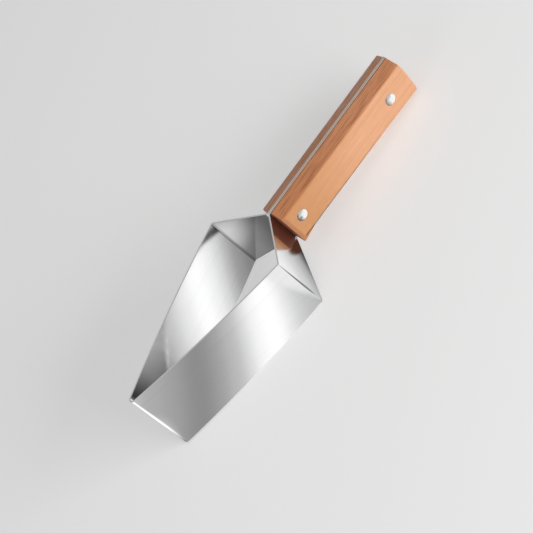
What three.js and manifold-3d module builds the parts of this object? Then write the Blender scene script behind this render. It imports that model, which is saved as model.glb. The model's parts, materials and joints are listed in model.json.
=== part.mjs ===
// Hand tool with an open kite-shaped loop blade and a riveted wooden handle.
//
// One steel strip is folded at the tip and at both shoulders. Its two ends lie back to back and
// run through the handle as a full-length tang. Two wooden scales are held on the tang by two
// two-piece rivets.
//
// Millimetres. The tool is drawn in its own frame: x runs from the tip (negative) to the butt,
// y across the blade, z up, with the blade's upper rim at z = 0 and the neck at x = 0.
// The finished tool is then tipped to lie as it does on a table, on both shoulders and the butt.

import * as THREE from 'three';
import { mergeVertices } from 'three/addons/utils/BufferGeometryUtils.js';
import Module from 'manifold-3d';

// ---- Driving dimensions --------------------------------------------------------------------

// Strip
const STRIP_THICKNESS = 1.2;
const TANG_SLIT = 0.1;

// Blade, seen from above: measured on the middle of the strip, except the tip
const TIP_X = -147;
const SHOULDER_X = -24;
const SHOULDER_HALF_WIDTH = 38.3;
const SIDE_SWEEP_RADIUS = 1000;
const NOSE_RADIUS = 2.6;
const SHOULDER_RADIUS = 1.3;
const NECK_RADIUS = 1.6;

// Blade, seen from the side: heights of its corners, the upper rim being highest at the shoulders
const TIP_TOP = -2.2;
const TIP_BOTTOM = -58.8;
const SHOULDER_BOTTOM = -47.8;

// Handle
const HANDLE_TOP = -1.6;
const HANDLE_BOTTOM = -31.3;
const BUTT_DEEPENING = 1.7;
const HANDLE_END = 124.6;
const HANDLE_HALF_WIDTH = 12;
const BUTT_RADIUS = 150;
const BUTT_CENTRE_DROP = 2.6;
const BEVEL_DEPTH = 3.5;
const TOP_EDGE_DROP = 0.2;
const SCALE_FRONT = 0.9;
const FRONT_CHAMFER_LENGTH = 2.6;
const FRONT_CHAMFER_DEPTH = 1.4;
const RUNOUT_START = 3;
const RUNOUT_END = 15;
const KEEL_INSET = 1.4;

// Rivets: the socket is a headed tube and the post is a headed pin inside it
const RIVETS = [
  { name: 'front', x: 12.4, z: -14.8 },
  { name: 'butt', x: 105.1, z: -16.8 },
];
const HEAD_RADIUS = 4.05;
const HEAD_HEIGHT = 1.5;
const HEAD_EDGE = 0.35;
const SEAT_DEPTH = 0.5;
const SOCKET_RADIUS = 2.6;
const SOCKET_BORE_RADIUS = 1.9;
const POST_RADIUS = 1.6;
const POST_STOPS_SHORT = 7;

// Clearance between pieces that touch on the real tool
const FIT_GAP = 0.3;

// Facets of round shapes
const FOLD_STEPS = 6;
const NOSE_STEPS = 12;
const SIDE_STEPS = 14;
const BUTT_STEPS = 10;
const ROUND_SEGMENTS = 28;
const DOME_STEPS = 6;

// Stock that is longer or wider than anything cut from it
const STOCK = 80;
const OVERRUN = 20;

// ---- Derived sizes -------------------------------------------------------------------------

const LAYER_Y = (TANG_SLIT + STRIP_THICKNESS) / 2;
const TANG_HALF_WIDTH = TANG_SLIT / 2 + STRIP_THICKNESS;
const SCALE_INNER_Y = TANG_HALF_WIDTH + FIT_GAP;
const HANDLE_MIDDLE = (HANDLE_TOP + HANDLE_BOTTOM) / 2;
const BUTT_BOTTOM = HANDLE_BOTTOM - BUTT_DEEPENING;
const RIVET_HOLE_RADIUS = SOCKET_RADIUS + FIT_GAP;
const SEAT_RADIUS = HEAD_RADIUS + FIT_GAP;
const HEAD_SEAT_Y = HANDLE_HALF_WIDTH - SEAT_DEPTH + FIT_GAP;

// ---- Finishes ------------------------------------------------------------------------------

const polishedSteel = () => new THREE.MeshStandardMaterial({
  color: 0xd4d5d6,
  roughness: 0.22,
  metalness: 1,
});

const oiledBeech = () => new THREE.MeshStandardMaterial({
  color: 0xd9a077,
  roughness: 0.6,
  metalness: 0,
});

const rivetSteel = () => new THREE.MeshStandardMaterial({
  color: 0xcfcdca,
  roughness: 0.3,
  metalness: 1,
});

// ---- Solid modelling -----------------------------------------------------------------------

const wasm = await Module();
wasm.setup();

function solidOf(geometry) {
  const bare = geometry.clone();
  bare.deleteAttribute('normal');
  bare.deleteAttribute('uv');
  const merged = mergeVertices(bare, 1e-5);
  return new wasm.Manifold(new wasm.Mesh({
    numProp: 3,
    vertProperties: new Float32Array(merged.attributes.position.array),
    triVerts: new Uint32Array(merged.index.array),
  }));
}

function geometryOf(solid) {
  const mesh = solid.getMesh();
  const geometry = new THREE.BufferGeometry();
  geometry.setAttribute('position', new THREE.BufferAttribute(mesh.vertProperties, 3));
  geometry.setIndex(new THREE.BufferAttribute(mesh.triVerts, 1));
  geometry.computeVertexNormals();
  return geometry;
}

function extruded(points, depth) {
  const shape = new THREE.Shape(points.map(([u, v]) => new THREE.Vector2(u, v)));
  return new THREE.ExtrudeGeometry(shape, { depth, bevelEnabled: false });
}

// Outline in x, y, run along z.
function prismAlongZ(points, low, high) {
  return solidOf(extruded(points, high - low).translate(0, 0, low));
}

// Outline in x, z, run along y.
function prismAlongY(points, low, high) {
  return solidOf(extruded(points, high - low).rotateX(Math.PI / 2).translate(0, high, 0));
}

// Outline in y, z, run along x from the neck past the butt. The lower half sinks steadily.
function handlePrism(points) {
  const upright = new THREE.Matrix4().makeBasis(
    new THREE.Vector3(0, 1, 0),
    new THREE.Vector3(0, 0, 1),
    new THREE.Vector3(1, 0, 0),
  );
  const geometry = extruded(points, HANDLE_END + OVERRUN).applyMatrix4(upright);
  const vertices = geometry.attributes.position;
  for (let i = 0; i < vertices.count; i += 1) {
    const sink = BUTT_DEEPENING * vertices.getX(i) / HANDLE_END;
    if (vertices.getZ(i) < HANDLE_MIDDLE) vertices.setZ(i, vertices.getZ(i) - sink);
  }
  return solidOf(geometry);
}

// A round cutter along y, from one distance off the middle plane to another.
function drill(rivet, radius, from, to) {
  const cutter = new THREE.CylinderGeometry(radius, radius, Math.abs(to - from), ROUND_SEGMENTS);
  return solidOf(cutter.translate(rivet.x, (from + to) / 2, rivet.z));
}

function drilled(solid) {
  return RIVETS.reduce(
    (work, rivet) => work.subtract(drill(rivet, RIVET_HOLE_RADIUS, -STOCK, STOCK)),
    solid,
  );
}

// Shallow round seats for the rivet heads, in the outer face of a scale.
function seated(solid, side) {
  const floor = side * (HANDLE_HALF_WIDTH - SEAT_DEPTH);
  return RIVETS.reduce(
    (work, rivet) => work.subtract(drill(rivet, SEAT_RADIUS, floor, side * STOCK)),
    solid,
  );
}

// ---- Outlines ------------------------------------------------------------------------------

// Points on an arc, both ends included. Angles in radians.
function arc(centreU, centreV, radius, from, to, steps) {
  return Array.from({ length: steps + 1 }, (_, i) => {
    const angle = from + (to - from) * i / steps;
    return [centreU + radius * Math.cos(angle), centreV + radius * Math.sin(angle)];
  });
}

// Rounds the corner at b, between the straight stretches from a and to c.
function fold(a, b, c, radius) {
  const [from, at, to] = [a, b, c].map(([u, v]) => new THREE.Vector2(u, v));
  const back = from.clone().sub(at).normalize();
  const on = to.clone().sub(at).normalize();
  const half = Math.acos(back.dot(on)) / 2;
  const bisector = back.clone().add(on).normalize();
  const centre = at.clone().addScaledVector(bisector, radius / Math.sin(half));
  const start = at.clone().addScaledVector(back, radius / Math.tan(half)).sub(centre).angle();
  const end = at.clone().addScaledVector(on, radius / Math.tan(half)).sub(centre).angle();
  const turn = Math.atan2(Math.sin(end - start), Math.cos(end - start));
  return arc(centre.x, centre.y, radius, start, start + turn, FOLD_STEPS);
}

// The middle line of half the strip, from the butt along the tang to the tip.
// The long side is an arc that meets the nose without a corner.
function halfStripLine() {
  const nose = new THREE.Vector2(TIP_X + NOSE_RADIUS + STRIP_THICKNESS / 2, 0);
  const shoulder = new THREE.Vector2(SHOULDER_X, SHOULDER_HALF_WIDTH);
  const toShoulder = shoulder.clone().sub(nose);
  const gap = toShoulder.length();
  const inner = SIDE_SWEEP_RADIUS - NOSE_RADIUS;
  const along = (gap * gap + inner * inner - SIDE_SWEEP_RADIUS * SIDE_SWEEP_RADIUS) / (2 * gap);
  const aside = Math.sqrt(inner * inner - along * along);
  const unit = toShoulder.clone().divideScalar(gap);
  const sweepCentre = nose.clone()
    .addScaledVector(unit, along)
    .add(new THREE.Vector2(unit.y, -unit.x).multiplyScalar(aside));
  const atShoulder = shoulder.clone().sub(sweepCentre).angle();
  const atNose = nose.clone().sub(sweepCentre).angle();
  const side = arc(sweepCentre.x, sweepCentre.y, SIDE_SWEEP_RADIUS, atShoulder, atNose, SIDE_STEPS);
  const neck = [0, LAYER_Y];
  const corner = [shoulder.x, shoulder.y];
  return [
    [HANDLE_END + OVERRUN, LAYER_Y],
    ...fold([HANDLE_END, LAYER_Y], neck, corner, NECK_RADIUS),
    ...fold(neck, corner, side[1], SHOULDER_RADIUS),
    ...side.slice(1, -1),
    ...arc(nose.x, nose.y, NOSE_RADIUS, atNose, Math.PI, NOSE_STEPS),
  ];
}

// The same line set off to one side by a distance, with mitred corners.
function offset(line, distance) {
  return line.map((point, i) => {
    const at = new THREE.Vector2(...point);
    const before = new THREE.Vector2(...line[Math.max(i - 1, 0)]);
    const after = new THREE.Vector2(...line[Math.min(i + 1, line.length - 1)]);
    const arriving = at.clone().sub(before).normalize();
    const leaving = after.clone().sub(at).normalize();
    const mean = arriving.clone().add(leaving).normalize();
    const stretch = mean.dot(leaving) || mean.dot(arriving);
    return [at.x - mean.y * distance / stretch, at.y + mean.x * distance / stretch];
  });
}

// Closed outline of the whole strip, seen from above.
function stripOutline() {
  const line = halfStripLine();
  const mirrored = line.slice(0, -1).reverse().map(([x, y]) => [x, -y]);
  const whole = [...line, ...mirrored];
  const inside = offset(whole, STRIP_THICKNESS / 2);
  const outside = offset(whole, -STRIP_THICKNESS / 2);
  return [...inside, ...outside.reverse()];
}

// The butt's rounded end, from the top of the handle to its bottom, seen from the side.
function buttArc() {
  const centreX = HANDLE_END - BUTT_RADIUS;
  const centreZ = HANDLE_TOP - BUTT_CENTRE_DROP;
  const top = Math.asin((HANDLE_TOP - centreZ) / BUTT_RADIUS);
  const bottom = Math.asin((BUTT_BOTTOM - centreZ) / BUTT_RADIUS);
  return arc(centreX, centreZ, BUTT_RADIUS, top, bottom, BUTT_STEPS);
}

// ---- Pieces --------------------------------------------------------------------------------

function bladeBand() {
  const strip = prismAlongZ(stripOutline(), -STOCK, STOCK);
  const sideLength = SHOULDER_X - TIP_X;
  const lowerSlope = (SHOULDER_BOTTOM - TIP_BOTTOM) / sideLength;
  const upperSlope = -TIP_TOP / sideLength;
  const sideView = [
    [TIP_X - OVERRUN, TIP_TOP - OVERRUN * upperSlope],
    [SHOULDER_X, 0],
    [0, HANDLE_TOP],
    ...buttArc(),
    [0, HANDLE_BOTTOM],
    [SHOULDER_X, SHOULDER_BOTTOM],
    [TIP_X - OVERRUN, TIP_BOTTOM - OVERRUN * lowerSlope],
  ];
  return drilled(strip.intersect(prismAlongY(sideView.reverse(), -STOCK, STOCK)));
}

// One scale. side is -1 for the right-hand one and 1 for the left-hand one, seen from the butt.
function handleScale(side) {
  const outer = side * HANDLE_HALF_WIDTH;
  const inner = side * SCALE_INNER_Y;
  const section = [
    [inner, HANDLE_TOP - TOP_EDGE_DROP],
    [outer, HANDLE_TOP - BEVEL_DEPTH],
    [outer, HANDLE_BOTTOM + BEVEL_DEPTH],
    [outer - side * KEEL_INSET, HANDLE_BOTTOM + TOP_EDGE_DROP],
    [inner, HANDLE_BOTTOM + TOP_EDGE_DROP],
  ];
  const underCut = [
    [inner, HANDLE_BOTTOM + TOP_EDGE_DROP],
    [outer, HANDLE_BOTTOM + BEVEL_DEPTH],
    [outer + side * OVERRUN, HANDLE_BOTTOM + BEVEL_DEPTH],
    [outer + side * OVERRUN, -STOCK],
    [inner, -STOCK],
  ];
  const runout = [
    [RUNOUT_START, HANDLE_BOTTOM],
    [RUNOUT_END, HANDLE_BOTTOM + BEVEL_DEPTH],
    [HANDLE_END + OVERRUN, HANDLE_BOTTOM + BEVEL_DEPTH],
    [HANDLE_END + OVERRUN, -STOCK],
    [RUNOUT_START, -STOCK],
  ];
  const sideView = [
    [SCALE_FRONT, BUTT_BOTTOM],
    [SCALE_FRONT, HANDLE_TOP],
    ...buttArc(),
  ];
  const plan = [
    [SCALE_FRONT, 0],
    [HANDLE_END + OVERRUN, 0],
    [HANDLE_END + OVERRUN, outer],
    [SCALE_FRONT + FRONT_CHAMFER_LENGTH, outer],
    [SCALE_FRONT, outer - side * FRONT_CHAMFER_DEPTH],
  ];
  const bevel = handlePrism(underCut).intersect(prismAlongY(runout, -STOCK, STOCK));
  const blank = handlePrism(section)
    .intersect(prismAlongY(sideView, -STOCK, STOCK))
    .intersect(prismAlongZ(plan, -STOCK, STOCK))
    .subtract(bevel);
  return seated(drilled(blank), side);
}

// Domed head, as a profile of radius and height above its seat.
function headProfile() {
  const rise = HEAD_HEIGHT - HEAD_EDGE;
  const radius = (HEAD_RADIUS * HEAD_RADIUS + rise * rise) / (2 * rise);
  const edge = Math.asin((radius - rise) / radius);
  const dome = arc(0, HEAD_HEIGHT - radius, radius, edge, Math.PI / 2, DOME_STEPS).slice(0, -1);
  return [[HEAD_RADIUS, 0], ...dome, [0, HEAD_HEIGHT]];
}

// Revolves a profile of radius and height. Height 0 is the head's seat, positive is outwards.
function turned(profile) {
  const points = profile.map(([radius, height]) => new THREE.Vector2(radius, height));
  return new THREE.LatheGeometry(points, ROUND_SEGMENTS);
}

function rivetSocket() {
  const depth = 2 * HEAD_SEAT_Y - FIT_GAP;
  return turned([
    [0, -HEAD_EDGE],
    [SOCKET_BORE_RADIUS, -HEAD_EDGE],
    [SOCKET_BORE_RADIUS, -depth],
    [SOCKET_RADIUS, -depth],
    [SOCKET_RADIUS, 0],
    ...headProfile(),
  ]);
}

function rivetPost() {
  const depth = 2 * HEAD_SEAT_Y - POST_STOPS_SHORT;
  return turned([
    [0, -depth],
    [POST_RADIUS, -depth],
    [POST_RADIUS, 0],
    ...headProfile(),
  ]);
}

// ---- Assembly ------------------------------------------------------------------------------

function piece(name, geometry, material) {
  const mesh = new THREE.Mesh(geometry, material);
  mesh.name = name;
  return mesh;
}

// A rivet half, its head on the side given: -1 is the right-hand scale, 1 the left-hand one.
function rivetHalf(name, geometry, rivet, side) {
  const mesh = piece(name, geometry, rivetSteel());
  mesh.position.set(rivet.x, side * HEAD_SEAT_Y, rivet.z);
  mesh.rotation.x = side > 0 ? 0 : Math.PI;
  return mesh;
}

const tool = new THREE.Group();
tool.add(piece('blade_band', geometryOf(bladeBand()), polishedSteel()));
tool.add(piece('handle_scale_right', geometryOf(handleScale(-1)), oiledBeech()));
tool.add(piece('handle_scale_left', geometryOf(handleScale(1)), oiledBeech()));
for (const rivet of RIVETS) {
  tool.add(rivetHalf(`rivet_socket_${rivet.name}`, rivetSocket(), rivet, -1));
  tool.add(rivetHalf(`rivet_post_${rivet.name}`, rivetPost(), rivet, 1));
}

// Lay the tool on its table: both shoulders and the butt's lower corner come to one level.
// The origin goes under the middle of the tool's outline.
const [buttX, buttZ] = buttArc().at(-1);
tool.rotation.y = Math.atan2(buttZ - SHOULDER_BOTTOM, buttX - SHOULDER_X);
tool.updateMatrixWorld(true);
const extent = new THREE.Box3().setFromObject(tool, true);
const middle = extent.getCenter(new THREE.Vector3());
const laid = new THREE.Group();
laid.position.set(-middle.x, 0, -extent.min.z);
laid.add(tool);

export default laid;
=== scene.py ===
"""Loop-blade hand tool: a folded steel strip, two beech scales and two two-piece rivets."""

import json
import math

import bmesh
import bpy
from mathutils import Matrix, Vector

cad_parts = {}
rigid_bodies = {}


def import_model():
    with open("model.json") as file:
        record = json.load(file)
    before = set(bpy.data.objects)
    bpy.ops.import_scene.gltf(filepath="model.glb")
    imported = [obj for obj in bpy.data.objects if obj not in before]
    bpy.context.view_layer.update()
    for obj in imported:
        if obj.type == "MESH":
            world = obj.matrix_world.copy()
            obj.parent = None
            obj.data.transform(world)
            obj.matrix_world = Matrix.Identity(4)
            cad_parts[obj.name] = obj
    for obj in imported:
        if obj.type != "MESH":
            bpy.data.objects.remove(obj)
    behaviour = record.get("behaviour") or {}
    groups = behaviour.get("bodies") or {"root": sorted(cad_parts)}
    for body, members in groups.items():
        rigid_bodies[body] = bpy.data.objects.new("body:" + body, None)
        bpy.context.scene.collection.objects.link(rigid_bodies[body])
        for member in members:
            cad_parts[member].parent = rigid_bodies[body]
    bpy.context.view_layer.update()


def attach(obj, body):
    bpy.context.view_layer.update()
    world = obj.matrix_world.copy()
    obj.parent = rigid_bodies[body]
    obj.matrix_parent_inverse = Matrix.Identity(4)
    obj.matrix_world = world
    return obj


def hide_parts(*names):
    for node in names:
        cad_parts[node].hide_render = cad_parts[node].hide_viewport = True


bl_info = {
    "name": "Loop-blade hand tool",
    "version": (1, 0, 0),
    "blender": (4, 5, 0),
    "location": "View3D > Sidebar > Loop Blade",
    "description": "Models a hand tool with a folded loop blade and a riveted beech handle",
    "category": "Add Mesh",
}

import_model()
MM = 0.001
BODY = "root"
UP = (0.0, 0.0, 1.0)
DOWN = (0.0, 0.0, -1.0)
OUTWARD = (0.0, 1.0, 0.0)
MIDDLE = (0.0, 0.0, 0.0)
# Points nearer than this are one point; rows of points are told apart by a tenth of it
SAME_POINT = 0.001 * MM
SAME_ROW = 0.1 * SAME_POINT
# How far a cutter reaches past what it cuts
OVERLAP = 10 * MM


# ---- Sizes and colours -------------------------------------------------------------------------

def length(name, description, millimetres):
    """A length property, given in millimetres and kept in metres."""
    return bpy.props.FloatProperty(
        name=name,
        description=description,
        default=millimetres * MM,
        unit="LENGTH",
        precision=5,
    )


def colour(name, description, value):
    """A colour property."""
    return bpy.props.FloatVectorProperty(
        name=name,
        description=description,
        default=value,
        subtype="COLOR",
        size=3,
        min=0.0,
        max=1.0,
    )


def angle(name, description, degrees):
    """An angle property, given in degrees and kept in radians."""
    return bpy.props.FloatProperty(
        name=name,
        description=description,
        default=math.radians(degrees),
        unit="ROTATION",
    )


def amount(name, description, value):
    """A plain number."""
    return bpy.props.FloatProperty(name=name, description=description, default=value)


def count(name, description, value):
    """A whole number of steps."""
    return bpy.props.IntProperty(name=name, description=description, default=value, min=1)


class BladeSizes(bpy.types.PropertyGroup):
    """Sizes of the folded strip, in the tool's own frame."""

    thickness: length("Strip Thickness", "Thickness of the strip", 1.2)
    slit: length("Tang Slit", "Gap between the two layers of the tang", 0.1)
    tip_x: length("Tip", "Place of the blade's tip along the tool", -147)
    shoulder_x: length("Shoulder", "Place of the shoulders along the tool", -24)
    half_width: length("Half Width", "From the middle plane to the strip's middle", 38.3)
    sweep_radius: length("Side Sweep", "Radius of the bowed long sides", 1000)
    nose_radius: length("Nose Fold", "Radius of the fold at the tip", 2.6)
    shoulder_radius: length("Shoulder Fold", "Radius of the folds at the shoulders", 1.3)
    neck_radius: length("Neck Fold", "Radius of the folds at the neck", 1.6)
    tip_top: length("Tip Top", "Height of the upper rim at the tip", -2.2)
    tip_bottom: length("Tip Bottom", "Height of the lower rim at the tip", -58.8)
    shoulder_bottom: length("Shoulder Bottom", "Height of the lower rim at a shoulder", -47.8)
    rim_round: length("Rim Rounding", "Width of the rounded arris along the rims", 0.15)
    fold_steps: count("Fold Steps", "Facets in a sharp fold", 10)
    sweep_steps: count("Sweep Steps", "Facets along a long side", 28)


class HandleSizes(bpy.types.PropertyGroup):
    """Sizes of the handle, in the tool's own frame."""

    top: length("Top", "Height of the tang's upper edge", -1.6)
    bottom: length("Bottom", "Height of the tang's lower edge at the neck", -31.3)
    deepening: length("Butt Deepening", "How far the lower edge sinks towards the butt", 1.7)
    end: length("Handle End", "Place of the butt along the tool", 124.6)
    half_width: length("Half Width", "From the middle plane to a scale's outer face", 12)
    inner: length("Inner Face", "From the middle plane to a scale's inner face", 1.4)
    front: length("Scale Front", "Place of the scales' front end", 0.9)
    butt_radius: length("Butt Radius", "Radius of the rounded butt, seen from the side", 150)
    butt_drop: length("Butt Centre", "How far the butt's centre lies below the top", 2.6)
    bevel_depth: length("Bevel Depth", "Fall of the wide bevel from the tang to the ridge", 3.5)
    edge_drop: length("Inner Edge Drop", "Fall of the scale's inner edge below the tang", 0.2)
    chamfer_length: length("Front Chamfer Length", "Length of the front chamfer", 2.6)
    chamfer_depth: length("Front Chamfer Depth", "Depth of the front chamfer", 1.4)
    runout_start: length("Run-out Start", "Where the lower bevel begins", 3)
    runout_end: length("Run-out End", "Where the lower bevel has its full depth", 15)
    keel_inset: length("Keel Inset", "Inset of the lower edge near the neck", 1.4)
    rounding: length("Rounding", "Widest rounding of the scales' edges", 1.5)
    butt_steps: count("Butt Steps", "Facets across the rounded butt", 6)


class RivetSizes(bpy.types.PropertyGroup):
    """Sizes of the two-piece rivets."""

    front_x: length("Front Rivet", "Place of the front rivet along the tool", 12.4)
    front_z: length("Front Rivet Height", "Height of the front rivet", -14.8)
    butt_x: length("Butt Rivet", "Place of the butt rivet along the tool", 105.1)
    butt_z: length("Butt Rivet Height", "Height of the butt rivet", -16.8)
    head_radius: length("Head Radius", "Radius of a head", 4.05)
    head_edge: length("Head Edge", "Height of the head's straight edge", 0.5)
    head_seat: length("Head Seat", "From the middle plane to the underside of a head", 11.55)
    head_top: length("Head Top", "From the middle plane to the top of a head", 13.3)
    seat_depth: length("Seat Depth", "Depth of a head's seat in the wood", 0.5)
    seat_radius: length("Seat Radius", "Radius of a head's seat", 4.14)
    hole_radius: length("Hole Radius", "Radius of the holes in the scales and the tang", 2.75)
    socket_radius: length("Socket Radius", "Outer radius of the socket's tube", 2.6)
    bore_radius: length("Bore Radius", "Radius of the socket's bore", 1.9)
    post_radius: length("Post Radius", "Radius of the pin inside the socket", 1.6)
    socket_stop: length("Socket Stop", "Gap between the socket's end and the far head", 0.3)
    post_stop: length("Post Stop", "Gap between the pin's end and the far head", 7)
    arris: length("Rivet Arris", "Width of the rounded arris along a rivet's edges", 0.22)
    sides: count("Sides", "Facets round a rivet", 64)
    dome_steps: count("Dome Steps", "Rings in a domed head", 9)


class RestPose(bpy.types.PropertyGroup):
    """How the tool lies: on both shoulders and the butt's lower corner."""

    pitch: angle("Pitch", "Nose-down turn of the tool as it lies", 5.7958)
    shift_x: length("Shift Along", "Shift along the tool after it is turned", 14.206)
    shift_z: length("Lift", "Lift after it is turned", 45.132)


class FinishesAndPaintedLight(bpy.types.PropertyGroup):
    """Colours of each finish, and the painted shade and painted reflection laid on the steel, the rivets
    and the wood.
    """

    steel: colour("Steel", "Polished strip", (0.60, 0.60, 0.605))
    # Painted shade on the inner faces near the tip
    steel_tip_shade: colour("Steel Tip Shade", "Painted shade on the strip's inner faces near the tip", (0.11, 0.11, 0.112))
    # Painted shade on the inner faces near the neck
    steel_neck_shade: colour("Steel Neck Shade", "Painted shade on the strip's inner faces near the neck", (0.06, 0.06, 0.06))
    steel_rim: colour("Steel Rims", "Sheared rims of the strip", (0.56, 0.55, 0.54))
    # Painted reflection of the wood on the tang's rim
    steel_tang_wood_reflection: colour("Steel Tang Wood Reflection", "Rim of the tang, with a painted reflection of the wood beside it", (0.56, 0.45, 0.37))
    # Darker tone along arrises, and painted shade in the shoulder fold's crease
    steel_dark_arris_and_fold_shade: colour("Steel Dark Arris and Fold Shade", "Darker tone along arrises, and painted shade in the shoulder folds", (0.14, 0.14, 0.14))
    steel_dull: colour("Steel Haze", "Duller streaks in the strip", (0.47, 0.47, 0.48))
    rivet: colour("Rivet", "Rivet heads", (0.68, 0.665, 0.65))
    rivet_dull: colour("Rivet Haze", "Duller marks on the heads", (0.52, 0.50, 0.48))
    # Painted shade on the side of a rivet head toward the neck
    rivet_shaded_side: colour("Rivet Shaded Side", "Painted shade on the side of a head toward the neck", (0.13, 0.12, 0.11))
    beech: colour("Beech", "Light wood between the growth lines", (0.84, 0.435, 0.25))
    beech_deep: colour("Beech Growth Lines", "Deeper wood of the growth lines", (0.76, 0.38, 0.19))
    beech_fleck: colour("Beech Flecks", "Short dark flecks and pores", (0.27, 0.085, 0.035))
    # Yellower wood near the neck, also darkened there as painted shade
    beech_neck_tint_and_shade: colour("Beech Neck Tint and Shade", "Yellower wood near the neck, darkened as painted shade", (0.64, 0.295, 0.118))
    beech_top: colour("Beech Top", "Wood of the wide bevels beside the tang", (0.66, 0.255, 0.112))
    # Darker end grain at the front, deepened further as painted shade
    beech_end_grain_and_shade: colour("Beech End Grain and Shade", "End grain, which drinks more oil, darkened further as painted shade", (0.52, 0.15, 0.08))
    floor: colour("Floor", "Pale floor", (0.80, 0.80, 0.80))


class StageSettings(bpy.types.PropertyGroup):
    """Camera, floor and lights."""

    azimuth: angle("Azimuth", "Camera's turn round the tool", -0.239)
    elevation: angle("Elevation", "Camera's height above the tool", 40.595)
    roll: angle("Roll", "Camera's turn about its own view", 57.831)
    distance: length("Distance", "From the target to the camera", 1457.47)
    lens: amount("Lens", "Focal length on a 36 mm wide sensor, in millimetres", 154.84)
    target_x: length("Target X", "Where the camera looks", -14.68)
    target_y: length("Target Y", "Where the camera looks", -3.63)
    target_z: length("Target Z", "Where the camera looks", 24.69)
    floor_size: length("Floor Size", "Width of the floor", 8000)
    key_power: amount("Key Light", "Power of the large light in front, in watts", 22.5)
    tip_power: amount("Tip Light", "Power of the light beyond the tip, in watts", 2.2)
    top_power: amount("Top Light", "Power of the overhead light, in watts", 2.2)
    sky: amount("Surround", "Brightness of the surroundings", 0.24)
    sky_in_metal: amount("Surround in Metal", "Brightness that polished metal mirrors", 0.80)
    card_glow: amount("Card Glow", "Brightness of a white band on the bounce card", 1.75)
    floor_lift: amount("Floor Lift", "How much the paper floor glows by itself", 0.34)


# ---- Workshop helpers --------------------------------------------------------------------------

def settings():
    """The scene's sizes and colours."""
    return bpy.context.scene.loop_blade


def clear_selection():
    """Leaves nothing selected and no piece in edit mode."""
    if bpy.context.object and bpy.context.object.mode != "OBJECT":
        bpy.ops.object.mode_set(mode="OBJECT")
    for thing in bpy.context.view_layer.objects:
        thing.select_set(False)


def choose(piece):
    """Selects one piece alone and makes it the active one."""
    clear_selection()
    bpy.context.view_layer.objects.active = piece
    piece.select_set(True)


def edit(piece):
    """Opens one piece for editing."""
    choose(piece)
    bpy.ops.object.mode_set(mode="EDIT")


def close():
    """Leaves edit mode and returns the piece."""
    bpy.ops.object.mode_set(mode="OBJECT")
    return bpy.context.object


def copy_of(piece):
    """A copy of a piece with its own mesh."""
    choose(piece)
    bpy.ops.object.duplicate(linked=False)
    return bpy.context.object


def fix_place():
    """Fixes the selected piece's place and turn in its mesh."""
    bpy.ops.object.transform_apply(location=True, rotation=True, scale=True)


def select_whole(kind=None):
    """Selects everything in the open piece, as vertices, edges or faces."""
    if kind:
        bpy.ops.mesh.select_mode(type=kind)
    bpy.ops.mesh.select_all(action="SELECT")


def pick(kind, test):
    """Selects only the vertices, edges or faces that pass a test, and says how many."""
    bpy.ops.mesh.select_mode(type=kind)
    bpy.ops.mesh.select_all(action="DESELECT")
    mesh = bpy.context.object.data
    shape = bmesh.from_edit_mesh(mesh)
    parts = {"VERT": shape.verts, "EDGE": shape.edges, "FACE": shape.faces}[kind]
    chosen = [part for part in parts if test(part)]
    for part in chosen:
        part.select_set(True)
    shape.select_flush_mode()
    bmesh.update_edit_mesh(mesh)
    return len(chosen)


def turn_about(centre, axis, turn, steps):
    """Spins the selected edges or vertices. The turn is right-handed about the axis."""
    bpy.ops.mesh.spin(steps=steps, angle=-turn, center=centre, axis=axis)


def push(value):
    """Extrudes the selection by a straight move."""
    bpy.ops.mesh.extrude_region_move(TRANSFORM_OT_translate={"value": value})


def slice_off(point, normal):
    """Cuts the whole piece with a plane, drops what lies on the normal's side and closes the cut."""
    select_whole("FACE")
    bpy.ops.mesh.bisect(
        plane_co=point, plane_no=normal, use_fill=True, clear_outer=True, threshold=SAME_ROW
    )


def slice_through(points, away):
    """Cuts the piece through three points and drops the side that lies toward a direction."""
    a, b, c = (Vector(point) for point in points)
    normal = (b - a).cross(c - a).normalized()
    slice_off(a, normal if normal.dot(Vector(away)) > 0 else -normal)


def tidy_normals():
    """Merges doubles and turns all faces outwards."""
    select_whole()
    bpy.ops.mesh.remove_doubles(threshold=SAME_POINT)
    bpy.ops.mesh.normals_make_consistent(inside=False)


def apply_modifier(piece, kind, **values):
    """Adds one modifier to a piece and applies it at once."""
    choose(piece)
    modifier = piece.modifiers.new(name=kind.title(), type=kind)
    for key, value in values.items():
        setattr(modifier, key, value)
    bpy.ops.object.modifier_apply(modifier=modifier.name)


def round_arrises(piece, width, degrees):
    """Rounds every edge of a piece sharper than an angle."""
    apply_modifier(
        piece,
        "BEVEL",
        width=width,
        segments=3,
        limit_method="ANGLE",
        angle_limit=math.radians(degrees),
        use_clamp_overlap=False,
    )


def cut_with(piece, cutters):
    """Subtracts cutters from a piece and clears them away."""
    for cutter in cutters:
        apply_modifier(piece, "BOOLEAN", operation="DIFFERENCE", solver="EXACT", object=cutter)
        bpy.data.meshes.remove(cutter.data)


def lay_down(piece):
    """Tips a piece from the tool's own frame to how the tool lies, and fixes it in its mesh."""
    rest = settings().rest
    choose(piece)
    piece.rotation_euler = (0.0, rest.pitch, 0.0)
    piece.location = (rest.shift_x, 0.0, rest.shift_z)
    fix_place()


def soften(piece, degrees):
    """Shades a piece smooth up to an angle, with large flats kept flat."""
    choose(piece)
    bpy.ops.object.shade_smooth_by_angle(angle=math.radians(degrees))
    apply_modifier(piece, "WEIGHTED_NORMAL", keep_sharp=True, weight=80)


def hand_over(piece, name, node, material):
    """Names a finished piece and ties it to the frame."""
    piece.name = name
    piece.data.name = name
    piece.data.materials.clear()
    piece.data.materials.append(material)
    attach(piece, BODY)
    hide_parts(node)


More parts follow.
